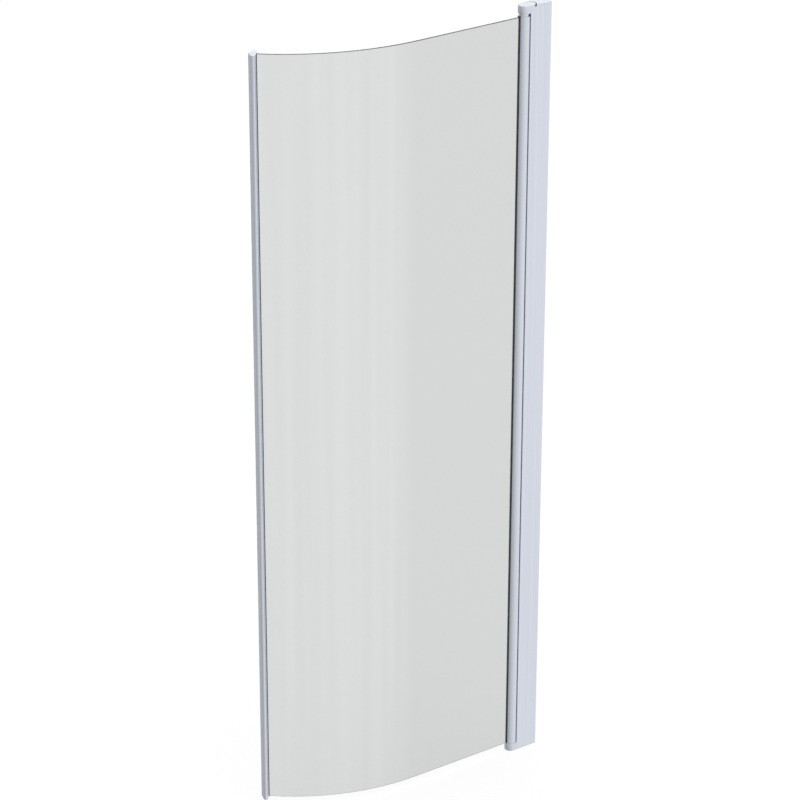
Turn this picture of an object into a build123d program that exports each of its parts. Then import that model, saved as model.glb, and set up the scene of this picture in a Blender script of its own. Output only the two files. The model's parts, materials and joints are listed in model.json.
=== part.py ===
from build123d import *
import math
import os

# A curved-glass shower door for a quadrant enclosure, hung on a rise-and-fall hinge.
# Millimetres, +Z up. The wall is the plane x = 0, with the wall on the +X side. The door
# leaf runs towards -X, -Y is the outside of the shower, and z = 0 is at mid height.

# Glass
glass_thickness = 6.0
glass_height = 1950.0
bend_from_axis = 302.0  # straight glass ends and the bend starts here
bend_radius = 531.5  # outer face
bend_angle = 41.3
column_bite = 7.0  # glass inside the column, from the column's outer skin
grip_bite = 8.0  # glass inside the grip profile

# Heights
bottom_cap_height = 21.0
top_cap_height = 19.0
foot_clearance = 0.5  # under the column, door closed
rise_room = 7.5  # free height above the column, door closed
glass_below_column_top = 2.0
end_plate = 4.5  # cap plates that lie on the ends of the hinge profile
floor_plate = 4.0  # bottom of the pocket in the bottom cap

# Column
column_radius = 15.0
column_wall = 2.0
slot_depth = 8.0
slot_floor_wall = 1.5
gasket_thickness = 2.6
gasket_proud = 0.5  # how far the outer bead stands out along the glass
gasket_lip = 1.8  # thickness of the bead
gasket_bevel = 0.7
gasket_recess = 2.3  # the inner gasket ends this far behind the bead
gasket_above_glass = 1.0

# Hinge profile and wall channel
axis_from_wall = 69.5
groove_from_axis = 9.0  # the lips of the cradle end here
lip_round = 1.2
cradle_gap = 0.8
cradle_wall = 2.6
flange_wall = 2.2
web_wall = 2.0
port_bore = 1.9
port_wall = 1.9
port_merge = 0.5
wall_setback = 1.0  # end of the hinge profile to the wall
channel_depth = 34.0
channel_wall = 2.2
slide_gap = 0.2

# Column seals
seal_angle = 46.0  # from the direction of the wall
seal_base_width = 3.0
seal_base_depth = 1.5
seal_lip_width = 1.2
seal_gap = 0.3
seal_fit = 0.05

# Fixings
wall_screw_count = 4
wall_screw_end = 100.0
wall_screw_hole = 2.75
lock_screw_count = 4
lock_screw_end = 160.0
lock_screw_radius = 2.0
lock_screw_length = 9.0
lock_screw_from_wall = 18.0
lock_head_radius = 4.0
lock_head_height = 2.4
lock_head_round = 1.0
lock_cap_radius = 6.5
lock_cap_height = 4.2
lock_cap_wall = 1.2
lock_cap_round = 1.8
port_screw_length = 22.0
port_screw_head = 3.7
port_screw_head_height = 2.0
set_screw_radius = 2.0
set_screw_length = 6.0
set_screw_sink = 0.4
set_screw_room = 0.6  # hole left past the tip
set_screw_spacing = 20.0
set_screw_from_end = 14.0
hex_key = 2.0  # across flats, in the set screws and the port screws
hex_key_depth = 1.4
screw_fit = 0.02

# How far a cut runs past the face it opens
overrun = 1.0

# Top cap, bush and upper pin
nose_wall = 2.0
nose_gap = 0.1  # between the nose and the lips of the cradle
neck_into_cap = 0.5
neck_gap = 0.5
bush_flange = 1.1
bush_flange_step = 0.2  # flange inside the neck's radius
bush_radius = 9.0
bush_play = 0.3
bush_above_neck = 0.65  # left when the door is fully open
bush_below_cover = 0.6
cover_thickness = 2.0
cover_rim = 3.0
cover_fit = 0.15
cover_back_gap = 0.9
cover_gap_start = 11.0  # the wider gap behind the cover starts here, from the axis
cap_back_apex = 28.5  # the round back of the top cap, from the axis
cap_back_corner = 19.5
clip_thickness = 1.1
clip_depth = 1.1
clip_outer = 11.2
clip_mouth = 60.0
clip_fit = 0.05
clip_room = 0.8  # around the clip, in the top cap
clip_below_cover = 1.8
upper_pin_radius = 4.0
upper_pin_flat = 3.2
upper_pin_embed = 38.0
upper_pin_below_cover = 0.6  # left when the door is fully open
pin_chamfer = 0.5
running_fit = 0.06
press_clearance = 0.02
spigot_length = 40.0
spigot_gap = 0.2

# Bottom cap, cams and lower pin
max_open = 95.0
lift_per_turn = 18.0
cam_starts = 2
cam_pocket_wall = 2.4
cam_pocket_gap = 0.2
cam_base = 4.0  # from the pocket floor to the low end of the ramp
cam_gap = 0.3
cam_step_angle = 2.0
cam_key_length = 20.0
cam_key_width = 6.0
cam_key_depth = 2.0
cam_key_gap = 0.1
lower_pin_radius = 4.0
lower_pin_seat = 3.0
lower_pin_reach = 30.0  # above the foot of the column
lower_pin_room = 2.0  # bore left past its tip

# Top end plug
joint_width = 3.0  # black strip between the top cap and the plug
joint_below = 0.4  # how far it lies below the faces around it
plug_wall = 1.6
plug_depth = 12.0
plug_fit = 0.3

# Setting blocks
block_count = 3
block_height = 60.0
block_end = 150.0

# Grip profile on the free edge: "along" runs past the end of the visible glass,
# "out" is square to the glass
grip_mouth_along = 0.0
grip_mouth_out = 5.5
grip_heel_along = 1.4
grip_heel_out = 18.0
grip_heel_round = 1.0
grip_ridge_along = 6.6
grip_ridge_out = 20.7
grip_ridge_round = 5.0
grip_flank_bulge = 2.0
grip_nose_along = 15.4
grip_nose_out = 4.6
grip_wall = 1.5
grip_liner = 1.0
grip_liner_proud = 0.8
grip_cap_thickness = 1.5
grip_cap_spigot = 8.0
grip_cap_fit = 0.2
magnet_face_along = 18.4
magnet_face_out = 2.6
magnet_neck = 1.2
magnet_foot = 2.2
magnet_foot_start = 11.7
magnet_foot_end = 13.2
magnet_width = 4.0
magnet_depth = 1.6
magnet_fit = 0.1
magnet_bar_fit = 0.05
magnet_bar_end = 1.0

# Heights that follow from the sizes above
column_length = glass_height + glass_below_column_top
total_height = bottom_cap_height + foot_clearance + column_length + rise_room + top_cap_height
z_bottom = -total_height / 2
z_top = total_height / 2
foot_z = z_bottom + bottom_cap_height
column_z0 = foot_z + foot_clearance
column_z1 = column_z0 + column_length
glass_z0 = column_z0
glass_z1 = glass_z0 + glass_height
cap_z0 = z_top - top_cap_height
profile_z0 = z_bottom + end_plate
profile_z1 = z_top - end_plate
cover_z0 = z_top - cover_thickness

# Places in plan
axis_x = -axis_from_wall
half = column_radius  # the profile's faces are flush with the column
column_inner = column_radius - column_wall
slot_half = glass_thickness / 2 + gasket_thickness
skin_x = axis_x - column_radius
glass_x0 = skin_x + column_bite
slot_floor_x = skin_x + slot_depth
chamber_x = slot_floor_x + slot_floor_wall
groove_x = axis_x + groove_from_axis
cradle_inner = column_radius + cradle_gap
cradle_outer = cradle_inner + cradle_wall
port_outer = port_bore + port_wall
port_y = half - flange_wall - port_outer + port_merge
port_x = axis_x + math.sqrt((cradle_outer + port_outer - port_merge) ** 2 - port_y**2)
web_x0 = port_x + port_outer - port_merge
web_x1 = web_x0 + web_wall
cap_end_x = axis_x + cap_back_apex
cap_back_rise = cap_back_apex - cap_back_corner
cap_back_radius = (half**2 + cap_back_rise**2) / (2 * cap_back_rise)
cap_back_x = cap_end_x - cap_back_radius
channel_half = half - flange_wall - slide_gap
neck_radius = half - nose_wall - neck_gap
neck_z1 = cap_z0 + neck_into_cap
max_rise = lift_per_turn * max_open / 360

# The bush hangs in the top cap: flange, bearing length, then the clip
bush_z0 = neck_z1 + max_rise + bush_above_neck
bush_shoulder = bush_z0 + bush_flange
bearing_z0 = bush_shoulder + bush_play
clip_z0 = cover_z0 - clip_thickness - clip_below_cover
bearing_z1 = clip_z0 - bush_play
bush_z1 = cover_z0 - bush_below_cover

# The cams fill the pocket of the bottom cap
pocket_z0 = z_bottom + floor_plate
ramp_z0 = pocket_z0 + cam_base
ramp_rise = lift_per_turn / cam_starts
cam_pocket = column_radius - cam_pocket_wall
cam_radius = cam_pocket - cam_pocket_gap


def rod(x, y, z0, z1, radius):
    """A vertical cylinder between two heights."""
    return Pos(x, y, z0) * Cylinder(radius, z1 - z0, align=(Align.CENTER, Align.CENTER, Align.MIN))


def block(x0, x1, y0, y1, z0, z1):
    """A box between two corners."""
    return Pos(x0, y0, z0) * Box(x1 - x0, y1 - y0, z1 - z0, align=(Align.MIN,) * 3)


def area(x0, x1, y0, y1):
    """A flat rectangle between two corners."""
    return Pos(x0, y0) * Rectangle(x1 - x0, y1 - y0, align=(Align.MIN,) * 2)


def disc(x, y, radius):
    """A flat disc."""
    return Pos(x, y) * Circle(radius)


def upright(section, z0, z1):
    """A flat section pulled up between two heights."""
    return extrude(Pos(0, 0, z0) * section, z1 - z0)


def spaced(count, end):
    """Heights of a row of fixings, centred on the hinge profile."""
    span = total_height - 2 * end
    return [-span / 2 + span * i / (count - 1) for i in range(count)]


def group(solids):
    """Separate solids kept together as one node."""
    return Compound(children=list(solids))


def nose_outline():
    """Plan of both caps' noses: round at the front, square to the groove."""
    return disc(axis_x, 0, half) + area(axis_x, groove_x - nose_gap, -half, half)


# Bent glass


def bend_point(radius, angle):
    """A point of the bend, at an angle in degrees from its start."""
    turn = math.radians(angle)
    centre_y = bend_radius - glass_thickness / 2
    x = axis_x - bend_from_axis - radius * math.sin(turn)
    return Vector(x, centre_y - radius * math.cos(turn))


def edge_plane():
    """Plane at the end of the visible glass: x along the glass, y to the outside."""
    turn = math.radians(bend_angle)
    middle = bend_point(bend_radius - glass_thickness / 2, bend_angle)
    along = Vector(-math.cos(turn), math.sin(turn), 0)
    return Plane(origin=(middle.X, middle.Y, 0), x_dir=along, z_dir=(0, 0, 1))


def edge_point(along, out):
    """A point given beside the free edge, in the plan of the door."""
    return edge_plane().from_local_coords(Vector(along, out, 0))


def glass_panel():
    """Bent safety glass: straight in the column, an arc, straight in the grip."""
    outer = bend_radius
    inner = bend_radius - glass_thickness
    side = glass_thickness / 2
    start_x = axis_x - bend_from_axis
    outer_bend = [bend_point(outer, bend_angle * share) for share in (0, 0.5, 1)]
    inner_bend = [bend_point(inner, bend_angle * share) for share in (1, 0.5, 0)]
    rim = [
        Line((glass_x0, -side), (start_x, -side)),
        ThreePointArc(*outer_bend),
        Line(outer_bend[-1], edge_point(grip_bite, side)),
        Line(edge_point(grip_bite, side), edge_point(grip_bite, -side)),
        Line(edge_point(grip_bite, -side), inner_bend[0]),
        ThreePointArc(*inner_bend),
        Line((start_x, side), (glass_x0, side)),
        Line((glass_x0, side), (glass_x0, -side)),
    ]
    return upright(make_face(rim), glass_z0, glass_z1)


# Column and what is in its slot


def chamber(clearance):
    """The D-shaped hollow of the column, made smaller all round by a clearance."""
    room = area(chamber_x + clearance, axis_x + column_radius, -column_radius, column_radius)
    return disc(axis_x, 0, column_inner - clearance) & room


def set_screw_heights():
    """Two screws near the top of the column and two near its foot."""
    rows = [set_screw_from_end, set_screw_from_end + set_screw_spacing]
    return [column_z0 + row for row in rows] + [column_z1 - row for row in rows]


def lying_rod(x0, x1, z, radius):
    """A cylinder along X on the centre plane."""
    place = Pos(x0, 0, z) * Rot(0, 90, 0)
    return place * Cylinder(radius, x1 - x0, align=(Align.CENTER, Align.CENTER, Align.MIN))


def column_profile():
    """Round extrusion with a slot for the glass and a chamber for the plugs."""
    slot = area(skin_x - overrun, slot_floor_x, -slot_half, slot_half)
    column = upright(disc(axis_x, 0, column_radius) - slot - chamber(0), column_z0, column_z1)
    hole_x0 = axis_x + column_inner - overrun
    hole_x1 = axis_x + column_radius + overrun
    for z in set_screw_heights():
        column -= lying_rod(hole_x0, hole_x1, z, set_screw_radius + screw_fit)
    return column


def spigot(z0, z1):
    """The part of a plug that sits in the column's chamber, drilled for set screws."""
    plug = upright(chamber(spigot_gap), z0, z1)
    end_x = axis_x + column_radius
    hole_x0 = end_x - set_screw_sink - set_screw_length - set_screw_room
    for z in set_screw_heights():
        if z0 < z < z1:
            plug -= lying_rod(hole_x0, end_x, z, set_screw_radius + screw_fit)
    return plug


def set_screws():
    """Headless hexagon socket screws that lock the two plugs in the column."""
    tip = axis_x + column_radius - set_screw_sink
    screws = []
    for z in set_screw_heights():
        key = Pos(0, z) * RegularPolygon(hex_key / 2, 6, major_radius=False)
        socket = extrude(Plane.YZ * key, hex_key_depth)
        body = lying_rod(tip - set_screw_length, tip, z, set_screw_radius)
        screws.append(body - Pos(tip - hex_key_depth, 0, 0) * socket)
    return group(screws)


def gasket(side):
    """Wedge gasket between glass and slot. side is -1 outside, where it has a bead, or 1 inside."""
    face_y = glass_thickness / 2
    wall_y = slot_half
    rim_x = axis_x - math.sqrt(column_radius**2 - wall_y**2)
    bead_x = axis_x - math.sqrt(column_radius**2 - face_y**2) - gasket_proud
    bead = [
        (bead_x, face_y), (bead_x, face_y + gasket_lip - gasket_bevel),
        (bead_x + gasket_bevel, face_y + gasket_lip), (rim_x, wall_y),
    ]
    square = [(bead_x + gasket_recess, face_y), (bead_x + gasket_recess, wall_y)]
    front = bead if side < 0 else square
    seat = make_face(Polyline((slot_floor_x, face_y), *front, (slot_floor_x, wall_y), close=True))
    if side < 0:
        seat = mirror(seat, about=Plane.XZ)
    return upright(seat, glass_z0, glass_z1 + gasket_above_glass)


def setting_blocks():
    """Spacers between the edge of the glass and the floor of the slot."""
    span = glass_height - 2 * block_end - block_height
    blocks = []
    for i in range(block_count):
        z = glass_z0 + block_end + span * i / (block_count - 1)
        side = glass_thickness / 2
        blocks.append(block(glass_x0, slot_floor_x, -side, side, z, z + block_height))
    return group(blocks)


# Hinge profile and wall channel


def across_rod(z, y0, y1, radius):
    """A cylinder along Y at the place of a lock screw."""
    place = Pos(-lock_screw_from_wall, y0, z) * Rot(-90, 0, 0)
    return place * Cylinder(radius, y1 - y0, align=(Align.CENTER, Align.CENTER, Align.MIN))


def seal_place(side, radius):
    """Plane on the cradle at a seal, x pointing away from the axis."""
    turn = math.radians(side * seal_angle)
    outward = Vector(math.cos(turn), math.sin(turn), 0)
    return Plane(origin=Vector(axis_x, 0, 0) + outward * radius, x_dir=outward, z_dir=(0, 0, 1))


def hinge_profile():
    """Telescoping wall profile that cradles the column."""
    end_x = -wall_setback
    body = area(groove_x, end_x, -half, half)
    room = area(web_x1, end_x + overrun, -half + flange_wall, half - flange_wall)
    fore = area(axis_x, web_x0, -half + flange_wall, half - flange_wall) - disc(axis_x, 0, cradle_outer)
    section = body - room - fore
    for side in (-1, 1):
        section += disc(port_x, side * port_y, port_outer)
    for side in (-1, 1):
        section -= disc(port_x, side * port_y, port_bore)
        pocket = area(-overrun, seal_base_depth, -seal_base_width / 2, seal_base_width / 2)
        section -= seal_place(side, cradle_inner) * pocket
    section -= disc(axis_x, 0, cradle_inner)
    for side in (-1, 1):
        section = fillet(section.vertices().sort_by_distance((groove_x, side * half))[0], lip_round)
    profile = upright(section, profile_z0, profile_z1)
    for z in spaced(lock_screw_count, lock_screw_end):
        profile -= across_rod(z, half - flange_wall - overrun, half + overrun, lock_screw_radius + screw_fit)
    return profile


def column_seals():
    """Soft strips in the cradle, one on each side of the column."""
    seals = []
    for side in (-1, 1):
        base = area(seal_fit, seal_base_depth, -seal_base_width / 2, seal_base_width / 2)
        lip = area(seal_gap - cradle_gap, seal_fit, -seal_lip_width / 2, seal_lip_width / 2)
        seals.append(upright(seal_place(side, cradle_inner) * (base + lip), foot_z, cap_z0))
    return group(seals)


def wall_channel():
    """U channel that is screwed to the wall, inside the hinge profile."""
    outer = area(-channel_depth, 0, -channel_half, channel_half)
    inner_half = channel_half - channel_wall
    section = outer - area(-channel_depth - overrun, -channel_wall, -inner_half, inner_half)
    channel = upright(section, profile_z0, profile_z1)
    for z in spaced(wall_screw_count, wall_screw_end):
        channel -= lying_rod(-channel_wall - overrun, overrun, z, wall_screw_hole)
    for z in spaced(lock_screw_count, lock_screw_end):
        channel -= across_rod(z, inner_half - overrun, channel_half + overrun, lock_screw_radius + screw_fit)
    return channel


def lock_screws():
    """Pan-head screws that fix the hinge profile to the wall channel."""
    screws = []
    for z in spaced(lock_screw_count, lock_screw_end):
        head = across_rod(z, half, half + lock_head_height, lock_head_radius)
        rim = head.edges().filter_by(GeomType.CIRCLE).sort_by(Axis.Y)[-1]
        head = fillet(rim, lock_head_round)
        shank = across_rod(z, half - lock_screw_length, half, lock_screw_radius)
        key = extrude(RegularPolygon(hex_key / 2, 6, major_radius=False), hex_key_depth)
        socket = Pos(-lock_screw_from_wall, half + lock_head_height, z) * Rot(90, 0, 0) * key
        screws.append(head + shank - socket)
    return group(screws)


def lock_screw_caps():
    """Snap caps over the heads of the lock screws."""
    caps = []
    for z in spaced(lock_screw_count, lock_screw_end):
        dome = across_rod(z, half, half + lock_cap_height, lock_cap_radius)
        rim = dome.edges().filter_by(GeomType.CIRCLE).sort_by(Axis.Y)[-1]
        dome = fillet(rim, lock_cap_round)
        roof = half + lock_cap_height - lock_cap_wall
        caps.append(dome - across_rod(z, half - overrun, roof, lock_cap_radius - lock_cap_wall))
    return group(caps)


# Top cap and upper pivot


def cover_outline(fit, end_x):
    """Plan of the recess in the top cap, less a fit, as far as an end."""
    front = half - nose_wall - fit
    rear = half - cover_rim - fit
    nose = disc(axis_x, 0, front) & area(skin_x, axis_x, -half, half)
    return nose + area(axis_x, end_x, -front, rear)


def port_screw(side, head_z, direction, fit):
    """Countersunk screw in a port. direction is -1 for down and 1 for up."""
    standing = (Align.CENTER, Align.CENTER, Align.MIN)
    shank_radius = port_bore - screw_fit + fit
    screw = Cone(port_screw_head + fit, shank_radius, port_screw_head_height, align=standing)
    screw += Cylinder(shank_radius, port_screw_length, align=standing)
    if direction < 0:
        screw = Rot(180, 0, 0) * screw
    return Pos(port_x, side * port_y, head_z) * screw


def cap_back(reach):
    """Plan of the round back of the top cap, grown by a reach."""
    round_back = disc(cap_back_x, 0, cap_back_radius + reach)
    return round_back & area(cap_back_x, cap_end_x + reach, -half, half)


def cap_plan():
    """Plan of the top cap: the nose, and a plate that ends in the round back."""
    return nose_outline() + area(groove_x - overrun, cap_back_x, -half, half) + cap_back(0)


def top_cap():
    """Die-cast head of the hinge profile, bored for the bush."""
    cap = upright(nose_outline(), cap_z0, z_top) + upright(cap_plan(), profile_z1, z_top)
    cap -= upright(cover_outline(0, cap_end_x + overrun), cover_z0, z_top + overrun)
    cap -= rod(axis_x, 0, cap_z0 - overrun, bearing_z0, neck_radius + neck_gap)
    cap -= rod(axis_x, 0, cap_z0, cover_z0 + overrun, bush_radius + running_fit)
    cap -= rod(axis_x, 0, bearing_z1, cover_z0 + overrun, clip_outer + clip_room)
    for side in (-1, 1):
        cap -= port_screw(side, cover_z0, -1, screw_fit)
    return cap


def port_screws(head_z, direction):
    """Two screws with hexagon sockets, driven into the ends of the hinge profile."""
    screws = []
    for side in (-1, 1):
        key = RegularPolygon(hex_key / 2, 6, major_radius=False)
        socket = extrude(Pos(port_x, side * port_y, head_z) * key, direction * hex_key_depth)
        screws.append(port_screw(side, head_z, direction, 0) - socket)
    return group(screws)


def top_cap_cover():
    """Plate that closes the recess of the top cap, with a gap behind it."""
    rear = half - cover_rim
    gap = area(axis_x + cover_gap_start, cap_end_x, rear - cover_back_gap, rear)
    return upright((cover_outline(cover_fit, cap_end_x) - gap) & cap_plan(), cover_z0, z_top)


def cap_joint_seal():
    """Black strip that fills the round joint between the top cap and the plug."""
    side = half - joint_below
    strip = (cap_back(joint_width) - cap_back(0)) & area(cap_back_x, cap_end_x + joint_width, -side, side)
    return upright(strip, profile_z1, z_top - joint_below)


def double_d(radius, flat):
    """Section of the upper pin: a disc with two flats."""
    return disc(axis_x, 0, radius) & area(axis_x - radius, axis_x + radius, -flat, flat)


def upper_bush():
    """Bush that turns in the top cap and lets the upper pin slide."""
    bush = rod(axis_x, 0, bush_z0, bush_shoulder, neck_radius - bush_flange_step)
    bush += rod(axis_x, 0, bush_shoulder, bush_z1, bush_radius)
    groove = disc(axis_x, 0, bush_radius + overrun) - disc(axis_x, 0, bush_radius - clip_depth)
    bush -= upright(groove, clip_z0 - clip_fit, clip_z0 + clip_thickness + clip_fit)
    bore = double_d(upper_pin_radius + running_fit, upper_pin_flat + running_fit)
    return bush - upright(bore, bush_z0 - overrun, bush_z1 + overrun)


def bush_clip():
    """Open retaining ring in the groove of the bush."""
    ring = disc(axis_x, 0, clip_outer) - disc(axis_x, 0, bush_radius - clip_depth + clip_fit)
    reach = 2 * clip_outer
    spread = reach * math.tan(math.radians(clip_mouth / 2))
    corners = [(axis_x, 0), (axis_x + reach, -spread), (axis_x + reach, spread)]
    mouth = make_face(Polyline(*corners, close=True))
    return upright(ring - mouth, clip_z0, clip_z0 + clip_thickness)


def upper_pin():
    """Steel pin with two flats, fixed in the column and sliding in the bush."""
    tip_z = cover_z0 - max_rise - upper_pin_below_cover
    pin = upright(double_d(upper_pin_radius, upper_pin_flat), column_z1 - upper_pin_embed, tip_z)
    return chamfer(pin.faces().sort_by(Axis.Z)[-1].edges(), pin_chamfer)


def column_top_plug():
    """Plug in the head of the column; its round head is the neck under the top cap."""
    plug = spigot(column_z1 - spigot_length, column_z1)
    plug += rod(axis_x, 0, column_z1, neck_z1, neck_radius)
    bore = double_d(upper_pin_radius + press_clearance, upper_pin_flat + press_clearance)
    return plug - upright(bore, column_z1 - upper_pin_embed, neck_z1 + overrun)


# Bottom cap and lower pivot


def ramp_bands(up):
    """Helical bands above (up = 1) or below (up = -1) the ramps, low end at z = 0."""
    reach = cam_radius + overrun
    core = lower_pin_radius - overrun
    tall = bottom_cap_height
    path = Helix(pitch=lift_per_turn, height=ramp_rise, radius=(core + reach) / 2)
    start = Plane(origin=((core + reach) / 2, 0, 0), x_dir=(1, 0, 0), z_dir=(0, -1, 0))
    band = sweep(start * Pos(0, up * tall / 2) * Rectangle(reach - core, tall), path=path, is_frenet=True)
    return [Pos(axis_x, 0, 0) * Rot(0, 0, 360 * i / cam_starts) * band for i in range(cam_starts)]


def cam_key(gap):
    """Tongue under the fixed cam that stops it turning in the bottom cap."""
    return block(
        axis_x - cam_key_length / 2 - gap, axis_x + cam_key_length / 2 + gap,
        -cam_key_width / 2 - gap, cam_key_width / 2 + gap, pocket_z0 - cam_key_depth, pocket_z0,
    )


def fixed_cam():
    """Lower half of the rise-and-fall hinge, keyed into the bottom cap."""
    cam = rod(axis_x, 0, pocket_z0, ramp_z0 + ramp_rise, cam_radius)
    for band in ramp_bands(1):
        cam -= Pos(0, 0, ramp_z0) * band
    cam += cam_key(0)
    top_z = ramp_z0 + ramp_rise + overrun
    return cam - rod(axis_x, 0, z_bottom, top_z, lower_pin_radius + press_clearance)


def rising_cam():
    """Upper half: rides up the fixed cam as the door opens and plugs the column."""
    step = math.radians(cam_step_angle)
    shift = cam_gap + lift_per_turn * step / (2 * math.pi)
    cam = rod(axis_x, 0, ramp_z0, column_z0, cam_radius)
    for band in ramp_bands(-1):
        cam -= Pos(axis_x, 0, ramp_z0 + shift) * Rot(0, 0, cam_step_angle) * Pos(-axis_x, 0, 0) * band
    cam += spigot(column_z0, column_z0 + spigot_length)
    bore_z1 = column_z0 + lower_pin_reach + lower_pin_room
    return cam - rod(axis_x, 0, z_bottom, bore_z1, lower_pin_radius + running_fit)


def lower_pin():
    """Steel pin pressed into the bottom cap, the axis of both cams."""
    pin = rod(axis_x, 0, pocket_z0 - lower_pin_seat, column_z0 + lower_pin_reach, lower_pin_radius)
    return chamfer(pin.edges().filter_by(GeomType.CIRCLE).sort_by(Axis.Z)[-1], pin_chamfer)


def bottom_cap():
    """Die-cast foot of the hinge profile, with the pocket for the cams."""
    plate = nose_outline() + area(groove_x - overrun, -wall_setback, -half, half)
    cap = upright(nose_outline(), z_bottom, foot_z) + upright(plate, z_bottom, profile_z0)
    cap -= rod(axis_x, 0, pocket_z0, foot_z + overrun, cam_pocket)
    cap -= cam_key(cam_key_gap)
    seat_z0 = pocket_z0 - lower_pin_seat
    cap -= rod(axis_x, 0, seat_z0, pocket_z0 + overrun, lower_pin_radius + press_clearance)
    for side in (-1, 1):
        cap -= port_screw(side, z_bottom, 1, screw_fit)
    return cap


def top_end_plug():
    """Cover of the wall side of the hinge profile, with a hollow skirt below."""
    outline = area(cap_back_x, -wall_setback, -half, half) - cap_back(joint_width)
    plate = upright(outline, profile_z1, z_top)
    skirt_half = channel_half - channel_wall - plug_fit
    skirt_x0 = -channel_depth
    skirt_x1 = -channel_wall - plug_fit
    skirt = block(skirt_x0, skirt_x1, -skirt_half, skirt_half, profile_z1 - plug_depth, profile_z1)
    hollow = block(
        skirt_x0 + plug_wall, skirt_x1 - plug_wall, -skirt_half + plug_wall, skirt_half - plug_wall,
        profile_z1 - plug_depth - overrun, profile_z1 - plug_wall,
    )
    return plate + skirt - hollow


# Free edge


def grip_outline():
    """Outline of the grip profile: a ridge on each side, narrowing to the nose."""
    mouth = (grip_mouth_along, grip_mouth_out)
    heel = (grip_heel_along, grip_heel_out)
    ridge = (grip_ridge_along, grip_ridge_out)
    nose = (grip_nose_along, grip_nose_out)
    middle = (Vector(ridge) + Vector(nose)) / 2
    slope = Vector(grip_ridge_out - grip_nose_out, grip_nose_along - grip_ridge_along).normalized()
    rim = [
        Line((grip_mouth_along, 0), mouth),
        Line(mouth, heel),
        Line(heel, ridge),
        ThreePointArc(ridge, middle + slope * grip_flank_bulge, nose),
        Line(nose, (grip_nose_along, 0)),
        Line((grip_nose_along, 0), (grip_mouth_along, 0)),
    ]
    front = make_face(rim)
    front = fillet(front.vertices().sort_by_distance(ridge)[0], grip_ridge_round)
    front = fillet(front.vertices().sort_by_distance(heel)[0], grip_heel_round)
    return front + mirror(front, about=Plane.XZ)


def grip_chambers(clearance):
    """The two hollows in the ridges."""
    side = glass_thickness / 2 + grip_liner
    beyond = area(grip_mouth_along - overrun, grip_nose_along + overrun, side, grip_ridge_out + overrun)
    hollow = offset(grip_outline() & beyond, -grip_wall - clearance, kind=Kind.INTERSECTION)
    return hollow + mirror(hollow, about=Plane.XZ)


def magnet_slot():
    """Undercut slot in the nose that holds the magnet carrier."""
    foot_half = magnet_foot + magnet_fit
    neck_half = magnet_neck + magnet_fit
    foot = area(magnet_foot_start - magnet_fit, magnet_foot_end + magnet_fit, -foot_half, foot_half)
    return foot + area(magnet_foot_start, grip_nose_along + overrun, -neck_half, neck_half)


def at_edge(section, z0, z1):
    """A section drawn beside the free edge, pulled up between two heights."""
    return extrude(Pos(0, 0, z0) * edge_plane() * section, z1 - z0)


def grip_profile():
    """Full-height extrusion that frames the free edge and serves as the grip."""
    side = glass_thickness / 2 + grip_liner
    slot = area(grip_mouth_along - overrun, grip_bite + grip_liner, -side, side)
    section = grip_outline() - grip_chambers(0) - slot - magnet_slot()
    return at_edge(section, glass_z0, glass_z1)


def grip_gasket():
    """U-shaped liner between the glass and the grip profile."""
    side = glass_thickness / 2
    outer = area(-grip_liner_proud, grip_bite + grip_liner, -side - grip_liner, side + grip_liner)
    return at_edge(outer - area(-overrun, grip_bite, -side, side), glass_z0, glass_z1)


def magnet_head():
    """Outline of the carrier's head, which carries on the lines of the grip profile."""
    return make_face(
        Polyline(
            (grip_nose_along, -grip_nose_out), (magnet_face_along, -magnet_face_out),
            (magnet_face_along, magnet_face_out), (grip_nose_along, grip_nose_out), close=True,
        )
    )


def magnet_room(clearance):
    """The hollow for the magnet bar in the carrier's head."""
    middle = (grip_nose_along + magnet_face_along) / 2
    wide = magnet_width / 2 - clearance
    deep = magnet_depth / 2 - clearance
    return area(middle - deep, middle + deep, -wide, wide)


def magnet_carrier():
    """Soft plastic strip on the nose, with a foot snapped into the slot."""
    foot = area(magnet_foot_start, magnet_foot_end, -magnet_foot, magnet_foot)
    neck = area(magnet_foot_start, grip_nose_along, -magnet_neck, magnet_neck)
    return at_edge(magnet_head() + foot + neck - magnet_room(0), glass_z0, glass_z1)


def magnet_bar():
    """Flexible magnet inside the carrier."""
    return at_edge(magnet_room(magnet_bar_fit), glass_z0 + magnet_bar_end, glass_z1 - magnet_bar_end)


def grip_cap(top):
    """End cap of the grip profile, with a spigot in each ridge."""
    end = glass_z1 if top else glass_z0
    sign = 1 if top else -1
    plate = at_edge(grip_outline() + magnet_head(), *sorted((end, end + sign * grip_cap_thickness)))
    return plate + at_edge(grip_chambers(grip_cap_fit), *sorted((end, end - sign * grip_cap_spigot)))


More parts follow.
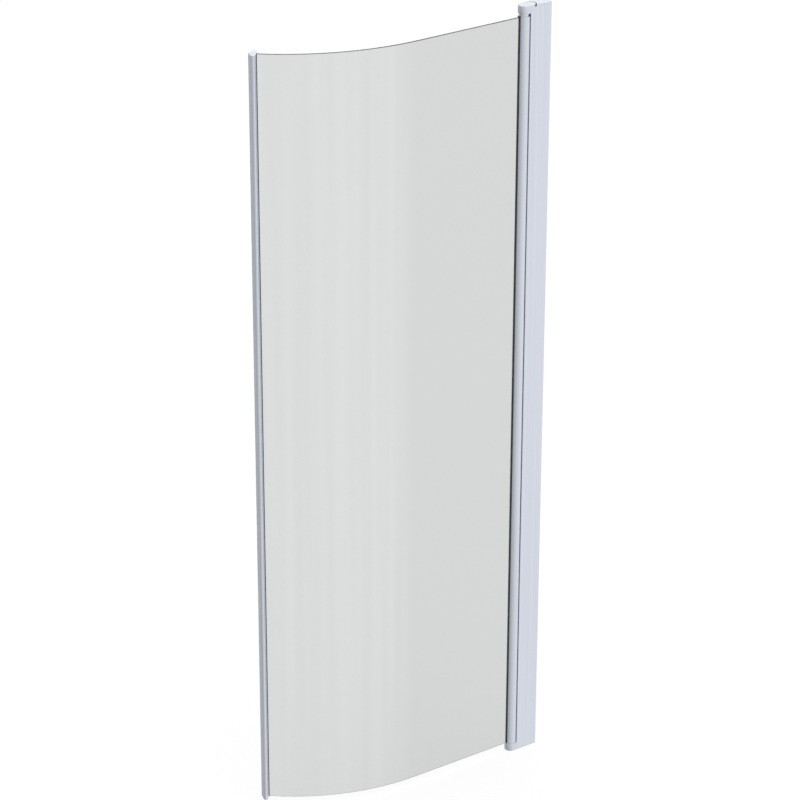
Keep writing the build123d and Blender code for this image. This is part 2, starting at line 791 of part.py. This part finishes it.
pieces = {
    "wall_channel": wall_channel(),
    "hinge_profile": hinge_profile(),
    "lock_screws": lock_screws(),
    "lock_screw_caps": lock_screw_caps(),
    "column_seals": column_seals(),
    "top_cap": top_cap(),
    "top_cap_cover": top_cap_cover(),
    "top_cap_screws": port_screws(cover_z0, -1),
    "cap_joint_seal": cap_joint_seal(),
    "top_end_plug": top_end_plug(),
    "bottom_cap": bottom_cap(),
    "bottom_cap_screws": port_screws(z_bottom, 1),
    "lower_pin": lower_pin(),
    "fixed_cam": fixed_cam(),
    "upper_bush": upper_bush(),
    "bush_clip": bush_clip(),
    "upper_pin": upper_pin(),
    "column_top_plug": column_top_plug(),
    "rising_cam": rising_cam(),
    "set_screws": set_screws(),
    "column_profile": column_profile(),
    "outer_gasket": gasket(-1),
    "inner_gasket": gasket(1),
    "setting_blocks": setting_blocks(),
    "glass_panel": glass_panel(),
    "grip_profile": grip_profile(),
    "grip_gasket": grip_gasket(),
    "magnet_carrier": magnet_carrier(),
    "magnet_bar": magnet_bar(),
    "grip_cap_top": grip_cap(True),
    "grip_cap_bottom": grip_cap(False),
}

os.makedirs("parts", exist_ok=True)
for name, piece in pieces.items():
    export_step(piece, f"parts/{name}.step")
print(f"{len(pieces)} pieces, {total_height:.1f} mm high")
print(f"rise at {max_open:.0f} degrees: {max_rise:.2f} mm, column axis at x = {axis_x:.1f} mm")
print(f"wall screw heights: {spaced(wall_screw_count, wall_screw_end)}")
print(f"magnet face: {edge_point(magnet_face_along, 0)}")
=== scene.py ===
# %% [markdown]
# A curved shower door for a quadrant enclosure. Its solids come packed from the
# construction, each at its real size and place: metres, +Z up, the wall at x = 0, the leaf
# running towards -X and the outside of the shower towards -Y. This script gives them what
# construction leaves open: finishes, the small roundings of made edges, light and a camera.

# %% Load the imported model
import json
import math

import bpy
from mathutils import Matrix, Vector


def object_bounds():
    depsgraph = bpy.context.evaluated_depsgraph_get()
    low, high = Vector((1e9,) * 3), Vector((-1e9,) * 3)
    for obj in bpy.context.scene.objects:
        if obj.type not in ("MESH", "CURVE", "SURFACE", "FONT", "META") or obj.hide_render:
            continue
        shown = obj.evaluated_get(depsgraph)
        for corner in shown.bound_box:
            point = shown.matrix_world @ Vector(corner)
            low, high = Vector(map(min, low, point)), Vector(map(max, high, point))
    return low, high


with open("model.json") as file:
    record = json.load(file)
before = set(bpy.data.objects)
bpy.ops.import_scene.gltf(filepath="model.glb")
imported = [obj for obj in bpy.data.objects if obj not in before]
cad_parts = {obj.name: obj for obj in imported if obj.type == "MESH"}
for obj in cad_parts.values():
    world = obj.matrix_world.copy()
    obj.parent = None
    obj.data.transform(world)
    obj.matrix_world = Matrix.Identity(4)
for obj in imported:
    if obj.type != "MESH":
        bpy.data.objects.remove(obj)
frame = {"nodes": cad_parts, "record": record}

nodes = frame["nodes"]
cad_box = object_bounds()
print(f"{len(nodes)} nodes, {cad_box[1].z - cad_box[0].z:.3f} m high")

# %% [markdown]
# Every finish below is a small network of shader nodes. One helper adds a node with its
# settings and its links, so that a material reads from top to bottom like a recipe. Colours
# are written as they would be picked on a screen, in sRGB hex, and turned to the linear
# values that a renderer works with. Patterns are placed by the object's own coordinates,
# divided by a real size in millimetres, so one unit of noise is one grain of the finish.
# Noise keeps mostly between 0.3 and 0.7, so that span is stretched to the two ends of a
# colour or a roughness.

# %% Helpers for colours, nodes and patterns
MM = 0.001
noise_span = {"From Min": 0.3, "From Max": 0.7}


def linear(code):
    """A hex colour such as D0D7E2 as linear RGBA."""
    shares = [int(code[i : i + 2], 16) / 255 for i in (0, 2, 4)]
    return [s / 12.92 if s <= 0.04045 else ((s + 0.055) / 1.055) ** 2.4 for s in shares] + [1]


def add(tree, kind, settings=None, links=None):
    """Adds a node. settings are inputs or properties, links are sockets that feed inputs."""
    node = tree.nodes.new(kind)
    for name, value in (settings or {}).items():
        if isinstance(name, str) and name not in node.inputs:
            setattr(node, name, value)
        else:
            node.inputs[name].default_value = value
    for name, socket in (links or {}).items():
        tree.links.new(socket, node.inputs[name])
    return node


def new_material(name, principled):
    """An empty material with a Principled shader set up and wired to its output."""
    material = bpy.data.materials.new(name)
    material.use_nodes = True
    tree = material.node_tree
    tree.nodes.clear()
    shader = add(tree, "ShaderNodeBsdfPrincipled", principled)
    add(tree, "ShaderNodeOutputMaterial", links={"Surface": shader.outputs[0]})
    return material, tree, shader


def noise(tree, across, along, detail=3.0):
    """Noise whose grains have a size in millimetres across and along Z."""
    place = add(tree, "ShaderNodeTexCoord").outputs["Object"]
    scale = (1 / (across * MM), 1 / (across * MM), 1 / (along * MM))
    space = add(tree, "ShaderNodeMapping", {"Scale": scale}, {"Vector": place}).outputs[0]
    pattern = {"Scale": 1.0, "Detail": detail}
    return add(tree, "ShaderNodeTexNoise", pattern, {"Vector": space}).outputs[0]


def tint(tree, shader, amount, low, high):
    """Runs the base colour from low to high with an amount of noise."""
    share = add(tree, "ShaderNodeMapRange", noise_span, {"Value": amount})
    mix = add(tree, "ShaderNodeMix", {"data_type": "RGBA", 6: linear(low), 7: linear(high)})
    tree.links.new(share.outputs[0], mix.inputs[0])
    tree.links.new(mix.outputs[2], shader.inputs["Base Color"])


def roughen(tree, shader, amount, low, high):
    """Runs the roughness from low to high with an amount of noise."""
    ends = {"To Min": low, "To Max": high}
    rough = add(tree, "ShaderNodeMapRange", noise_span | ends, {"Value": amount})
    tree.links.new(rough.outputs[0], shader.inputs["Roughness"])


def relief(tree, shader, height, depth, strength):
    """Fine relief, with its depth in millimetres."""
    settings = {"Strength": strength, "Distance": depth * MM}
    bump = add(tree, "ShaderNodeBump", settings, {"Height": height})
    tree.links.new(bump.outputs[0], shader.inputs["Normal"])


# %% [markdown]
# The long profiles are extruded aluminium with a natural anodised finish. The billet is
# pressed through a die, which leaves very fine lines along the whole length, and the
# etching before anodising turns the metal satin: soft light bands instead of mirror
# images. So the grain is noise stretched along Z, which moves the colour and the roughness
# a little and gives the relief, with an even finer etched grain on top. Real die lines are
# about 0.1 mm apart. These are drawn 1.2 mm wide, or they would vanish in the render.

# %% Anodised aluminium
die_line_width = 1.2
die_line_length = 900.0
etch_grain = 0.35
etch_share = 0.3

anodised, tree, shader = new_material("anodised_aluminium", {"Metallic": 1.0, "Roughness": 0.4})
lines = noise(tree, die_line_width, die_line_length, detail=4.0)
etching = noise(tree, etch_grain, etch_grain, detail=2.0)
tint(tree, shader, lines, "CED2DC", "DCE0EA")
roughen(tree, shader, lines, low=0.36, high=0.45)
height = add(
    tree, "ShaderNodeMath", {"operation": "MULTIPLY_ADD", 1: etch_share}, {0: etching, 2: lines}
)
relief(tree, shader, height.outputs[0], depth=0.02, strength=0.25)
print("die lines", die_line_width, "mm wide")

# %% [markdown]
# The caps are die cast zinc under a silver lacquer that is matched to the profiles. The
# sprayed coat flows out into a faint orange peel, a few millimetres from hill to hill, and
# the flakes of metal in it lie flat, so it looks like the anodised metal without its
# lines, and a touch softer.

# %% Silver lacquer on the castings
peel_size = 2.5
flake_size = 0.5

lacquered, tree, shader = new_material("lacquered_casting", {"Metallic": 1.0, "Roughness": 0.42})
flakes = noise(tree, flake_size, flake_size)
peel = noise(tree, peel_size, peel_size, detail=1.0)
tint(tree, shader, flakes, "CDD1DA", "D9DDE6")
roughen(tree, shader, peel, low=0.40, high=0.47)
relief(tree, shader, peel, depth=0.03, strength=0.3)
print("orange peel", peel_size, "mm")

# %% [markdown]
# The pane is 6 mm toughened safety glass with a light grey look. Clear soda lime glass has
# an IOR of 1.52. Its tint comes from absorption along the way through the pane, as in the
# real melt, so the edges are darker than the faces. The pane is heated and laid over a
# curved mould. From the start of the bend on, the base colour is a few per cent lighter, with
# faint upright lines about 30 mm wide. This is a painted reflection, so the flat part stays even
# and the curved part looks alive. The top and bottom edges are ground before toughening, so they
# are matt, and their darker base colour is painted shade. They are the only faces that look
# straight up or down, so the normal finds them.

# %% Toughened grey glass
# Where the painted reflection on the curved part starts and where it is full, and the size of its
# upright lines.
highlight_start = -372.0
highlight_full = -440.0
reflection_streak_width = 30.0
reflection_streak_length = 1600.0
least_reflection_streak = 0.45
ground_from = 0.9
ground_roughness = 0.35
grey_density = 90.0

glass, tree, shader = new_material(
    "tinted_glass", {"Roughness": 0.0, "IOR": 1.52, "Transmission Weight": 1.0}
)
place = add(tree, "ShaderNodeTexCoord").outputs["Object"]
along = add(tree, "ShaderNodeSeparateXYZ", {}, {0: place}).outputs["X"]
# Painted reflection: the base colour turns a few per cent lighter from the start of the bend on.
bend_highlight = add(
    tree, "ShaderNodeMapRange", {"From Min": highlight_start * MM, "From Max": highlight_full * MM},
    {"Value": along},
).outputs[0]
# Painted reflection: faint upright lines, on the curved part only.
reflection_streaks = add(
    tree, "ShaderNodeMapRange", noise_span | {"To Min": least_reflection_streak, "To Max": 1.0},
    {"Value": noise(tree, reflection_streak_width, reflection_streak_length, detail=1.0)},
).outputs[0]
# Painted reflection: how much lighter the base colour turns.
painted_reflection = add(tree, "ShaderNodeMath", {"operation": "MULTIPLY"}, {0: bend_highlight, 1: reflection_streaks})
tone_with_highlight = add(
    tree, "ShaderNodeMix", {"data_type": "RGBA", 6: linear("EFF1F0"), 7: linear("F7F9F8")},
    {0: painted_reflection.outputs[0]},
)
normal = add(tree, "ShaderNodeTexCoord").outputs["Normal"]
upright = add(tree, "ShaderNodeSeparateXYZ", {}, {0: normal}).outputs["Z"]
steep = add(tree, "ShaderNodeMath", {"operation": "ABSOLUTE"}, {0: upright}).outputs[0]
# Mask of the ground top and bottom edges. It gives them real matt roughness and painted shade in
# their colour.
ground_shaded_edge = add(tree, "ShaderNodeMath", {"operation": "GREATER_THAN", 1: ground_from}, {0: steep})
# Painted shade: the ground edges get a darker base colour.
colour = add(
    tree, "ShaderNodeMix", {"data_type": "RGBA", 7: linear("8C9192")},
    {0: ground_shaded_edge.outputs[0], 6: tone_with_highlight.outputs[2]},
)
tree.links.new(colour.outputs[2], shader.inputs["Base Color"])
matt = add(
    tree, "ShaderNodeMath", {"operation": "MULTIPLY", 1: ground_roughness}, {0: ground_shaded_edge.outputs[0]}
)
tree.links.new(matt.outputs[0], shader.inputs["Roughness"])
absorption = add(
    tree, "ShaderNodeVolumeAbsorption", {"Color": linear("BFC2C1"), "Density": grey_density}
)
tree.links.new(absorption.outputs[0], tree.nodes["Material Output"].inputs["Volume"])
print("glass bends from x =", highlight_start, "mm")

# %% [markdown]
# The gaskets are extruded EPDM rubber. It leaves the die with fine lines along its length
# and blooms as it ages: a thin grey film of wax comes to the surface in soft clouds. That
# gives a near black that is matt and never quite even.

# %% Black EPDM rubber
bloom_size = 14.0
bloom_length = 42.0
rubber_line_width = 0.5
rubber_line_length = 200.0

rubber, tree, shader = new_material("black_epdm", {"Roughness": 0.6, "IOR": 1.5})
bloom = noise(tree, bloom_size, bloom_length)
ribs = noise(tree, rubber_line_width, rubber_line_length)
tint(tree, shader, bloom, "292D33", "343940")
roughen(tree, shader, bloom, low=0.5, high=0.68)
relief(tree, shader, ribs, depth=0.03, strength=0.4)
print("rubber lines", rubber_line_width, "mm")

# %% [markdown]
# Seals, blocks and bushes are moulded or extruded plastics, and their surface copies the
# steel of the tool: spark eroded, with a fine even grain of about 0.4 mm that breaks the
# highlight up. What differs is the colour, how rough the grain leaves it and the size of
# the soft flow marks, so these plastics are one recipe with other values.

# %% Moulded and extruded plastics
spark_grain = 0.4
smoother = 0.05
rougher = 0.08

plastics = {}
for name, low, high, roughness, flow_size in (
    ("grey_pvc", "9CA2A8", "A8AEB4", 0.42, 30.0),
    # A darker grey for the grip liner, so it shows as a dark line beside the glass.
    ("darkened_grip_liner", "3C4044", "474B50", 0.42, 30.0),
    ("white_acetal", "DFDFDA", "E9E9E5", 0.30, 6.0),
):
    plastics[name], tree, shader = new_material(name, {"Roughness": roughness, "IOR": 1.5})
    flow = noise(tree, flow_size, flow_size)
    sparks = noise(tree, spark_grain, spark_grain, detail=2.0)
    tint(tree, shader, flow, low, high)
    roughen(tree, shader, sparks, low=roughness - smoother, high=roughness + rougher)
    relief(tree, shader, sparks, depth=0.02, strength=0.35)
print(", ".join(plastics), "with", spark_grain, "mm grain")

# %% [markdown]
# The end plug, the caps of the grip and the screw caps are moulded ABS with a silver paint
# that makes them pass for metal next to the profiles. The paint lies over the tool's grain
# and fills it partly, so under the metallic look the surface is a little rougher and more
# even than the lacquered castings, with the soft flow of the spray.

# %% Silver painted ABS
spray_size = 6.0

painted, tree, shader = new_material("silver_painted_abs", {"Metallic": 1.0, "Roughness": 0.45})
spray = noise(tree, spray_size, spray_size, detail=1.0)
sparks = noise(tree, spark_grain, spark_grain, detail=2.0)
tint(tree, shader, spray, "D2D6DF", "D7DBE4")
roughen(tree, shader, sparks, low=0.42, high=0.50)
relief(tree, shader, sparks, depth=0.02, strength=0.25)
print("spray", spray_size, "mm over", spark_grain, "mm grain")

# %% [markdown]
# Pins, screws and the retaining ring are stainless steel. The pins are ground and the
# screws turned, so their fine marks run around the axis, a tenth of a millimetre apart.
# Here they are drawn 0.3 mm apart, as thin layers of noise along Z.

# %% Turned stainless steel
turning_mark = 0.3
mark_length = 40.0

stainless, tree, shader = new_material("stainless_steel", {"Metallic": 1.0, "Roughness": 0.25})
marks = noise(tree, mark_length, turning_mark)
tint(tree, shader, marks, "BDBDBE", "CDCDCF")
roughen(tree, shader, marks, low=0.2, high=0.32)
relief(tree, shader, marks, depth=0.01, strength=0.3)
print("turning marks", turning_mark, "mm")

# %% [markdown]
# The magnet strip is flexible ferrite: magnetic powder bound in rubber and rolled flat.
# It is dark, dull and slightly brown, with the powder showing as fine lighter specks.

# %% Ferrite rubber
speck_size = 0.6

magnet, tree, shader = new_material("magnet_rubber", {"Roughness": 0.7, "IOR": 1.5})
specks = noise(tree, speck_size, speck_size, detail=4.0)
tint(tree, shader, specks, "262423", "37332F")
roughen(tree, shader, specks, low=0.6, high=0.8)
relief(tree, shader, specks, depth=0.02, strength=0.4)
print("ferrite specks", speck_size, "mm")

# %% [markdown]
# The record that comes with the solids says which finish each piece has. The liner of the grip
# profile is recorded as grey PVC. Here it is given a darker grey, so it shows as a dark line
# beside the glass.

# %% Put each finish on its nodes
finishes = {
    "anodised_aluminium": anodised,
    "die_cast_metal": lacquered,
    "tinted_glass": glass,
    "black_epdm": rubber,
    "grey_pvc": plastics["grey_pvc"],
    "grey_plastic": painted,
    "white_acetal": plastics["white_acetal"],
    "stainless_steel": stainless,
    "magnet_rubber": magnet,
}
for part in frame["record"]["subparts"]:
    node = nodes[part["node"]]
    node.material_slots[0].material = finishes[part["material_slot"]]
# The grip liner gets a darker grey than its recorded grey PVC, which draws a dark line beside the
# glass.
nodes["grip_gasket"].material_slots[0].material = plastics["darkened_grip_liner"]
print(len(finishes), "finishes")

# %% [markdown]
# The castings and mouldings have no sharp edges: the tool is rounded, and a coat can't hold
# on a knife edge. A bevel of half a millimetre catches the light as a thin line, which is
# what tells the eye that two pieces meet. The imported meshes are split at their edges, so a
# weld closes them first. Profiles are cut square by a saw and keep their crisp ends.

# %% Rounded edges
edge_round = 0.5
round_segments = 3
round_from = 50
seam = 0.001

for name in ("top_cap", "bottom_cap", "top_end_plug", "grip_cap_top", "grip_cap_bottom"):
    weld = nodes[name].modifiers.new("close_seams", "WELD")
    weld.merge_threshold = seam * MM
    rounding = nodes[name].modifiers.new("rounding", "BEVEL")
    rounding.width = edge_round * MM
    rounding.segments = round_segments
    rounding.limit_method = "ANGLE"
    rounding.angle_limit = math.radians(round_from)
print("edges rounded by", edge_round, "mm")

# %% [markdown]
# The floor is a white sheet 60 m wide that shows as the white background, also through the
# glass, and still takes a soft shadow. Metal doesn't mirror that white: the floor lets
# reflected rays pass, so they find the studio's gradient below it and upright faces are lit
# evenly down to the foot. A ray that goes through clear glass counts as glossy too, so it
# is taken off again.

# %% Floor
floor_size = 60
glow_share = 0.88


def plainly_seen(tree, path):
    """1 where the camera looks straight or through glass, from a Light Path node."""
    rays = {0: path.outputs["Is Camera Ray"], 1: path.outputs["Is Transmission Ray"]}
    return add(tree, "ShaderNodeMath", {"operation": "MAXIMUM"}, rays).outputs[0]


bpy.ops.mesh.primitive_plane_add(size=floor_size, location=(0, 0, cad_box[0].z))
floor = bpy.context.object
floor.name = "studio_floor"
white, tree, shader = new_material(
    "studio_white", {"Base Color": linear("F2F2F2"), "Roughness": 0.9}
)
path = add(tree, "ShaderNodeLightPath")
seen = plainly_seen(tree, path)
share = add(tree, "ShaderNodeMath", {"operation": "MULTIPLY", 1: glow_share}, {0: seen}).outputs[0]
lit = add(tree, "ShaderNodeEmission", {"Color": linear("FFFFFF"), "Strength": 1.0})
sheet = add(tree, "ShaderNodeMixShader", {}, {0: share, 1: shader.outputs[0], 2: lit.outputs[0]})
passing = add(tree, "ShaderNodeBsdfTransparent")
reflected = add(
    tree, "ShaderNodeMath", {"operation": "SUBTRACT", "use_clamp": True},
    {0: path.outputs["Is Glossy Ray"], 1: path.outputs["Is Transmission Ray"]},
).outputs[0]
floor_look = add(
    tree, "ShaderNodeMixShader", {}, {0: reflected, 1: sheet.outputs[0], 2: passing.outputs[0]}
)
tree.links.new(floor_look.outputs[0], tree.nodes["Material Output"].inputs["Surface"])
floor.data.materials.append(white)
print("floor at z =", round(cad_box[0].z, 3))

# %% [markdown]
# A studio for satin metal is mostly its reflections, because the profiles copy what lies
# across from them. So the world is a smooth gradient: brightest to one side of the door,
# dimmer across from it, brighter overhead as under a wide diffuser, and darker straight
# below, where the door hides the light. The camera, and whoever looks through the glass,
# sees plain white instead. The numbers are strengths of white, where 1 is paper white.

# %% World
glow_mean = 0.775
glow_swing = 0.262
bright_side = (0.82, -0.574, 0.0)
overhead = {"From Min": 0.06, "From Max": 0.42, "To Min": 0.0, "To Max": 0.56}
underneath = {"From Min": -0.95, "From Max": -0.65, "To Min": -0.45, "To Max": 0.0}

world = bpy.data.worlds.new("studio")
bpy.context.scene.world = world
world.use_nodes = True
tree = world.node_tree
tree.nodes.clear()
seen = plainly_seen(tree, add(tree, "ShaderNodeLightPath"))
backdrop = add(tree, "ShaderNodeBackground", {"Color": linear("FFFFFF"), "Strength": 1.0})
direction = add(tree, "ShaderNodeTexCoord").outputs["Generated"]
flat = add(tree, "ShaderNodeVectorMath", {"operation": "MULTIPLY", 1: (1, 1, 0)}, {0: direction})
level = add(tree, "ShaderNodeVectorMath", {"operation": "NORMALIZE"}, {0: flat.outputs[0]})
side = add(
    tree, "ShaderNodeVectorMath", {"operation": "DOT_PRODUCT", 1: bright_side},
    {0: level.outputs[0]},
).outputs["Value"]
glow = add(
    tree, "ShaderNodeMath", {"operation": "MULTIPLY_ADD", 1: glow_swing, 2: glow_mean}, {0: side}
).outputs[0]
up = add(tree, "ShaderNodeSeparateXYZ", {}, {0: direction}).outputs["Z"]
for ramp in (overhead, underneath):
    more = add(tree, "ShaderNodeMapRange", ramp, {"Value": up}).outputs[0]
    glow = add(tree, "ShaderNodeMath", {"operation": "ADD"}, {0: glow, 1: more}).outputs[0]
room = add(tree, "ShaderNodeBackground", {"Color": linear("FFFFFF")}, {"Strength": glow})
mix = add(tree, "ShaderNodeMixShader", {}, {0: seen, 1: room.outputs[0], 2: backdrop.outputs[0]})
add(tree, "ShaderNodeOutputWorld", links={"Surface": mix.outputs[0]})
print(f"room strength {glow_mean - glow_swing:.2f} to {glow_mean + glow_swing:.2f}")

# %% [markdown]
# The camera stands well back with a long lens, as for a product picture: turned 35 degrees
# round the door and looking down by 25 degrees. The lens and the place were solved from
# the long straight edges, whose real sizes are known.

# %% Camera
camera_place = Vector((-4.4743, -5.8206, 3.4449))
azimuth = math.radians(34.878)
elevation = math.radians(25.357)
roll = math.radians(0.1345)
focal_length = 148.77
sensor_width = 36.0
farthest = 100.0

lens = bpy.data.cameras.new("camera")
lens.sensor_width = sensor_width
lens.lens = focal_length
lens.clip_end = farthest
camera = bpy.data.objects.new("camera", lens)
bpy.context.scene.collection.objects.link(camera)
gaze = Vector((
    math.sin(azimuth) * math.cos(elevation),
    math.cos(azimuth) * math.cos(elevation),
    -math.sin(elevation),
))
turn = gaze.to_track_quat("-Z", "Y").to_matrix().to_4x4() @ Matrix.Rotation(roll, 4, "Z")
camera.matrix_world = Matrix.Translation(camera_place) @ turn
bpy.context.scene.camera = camera
bpy.context.scene.view_settings.view_transform = "Standard"
print("camera at", tuple(camera_place))
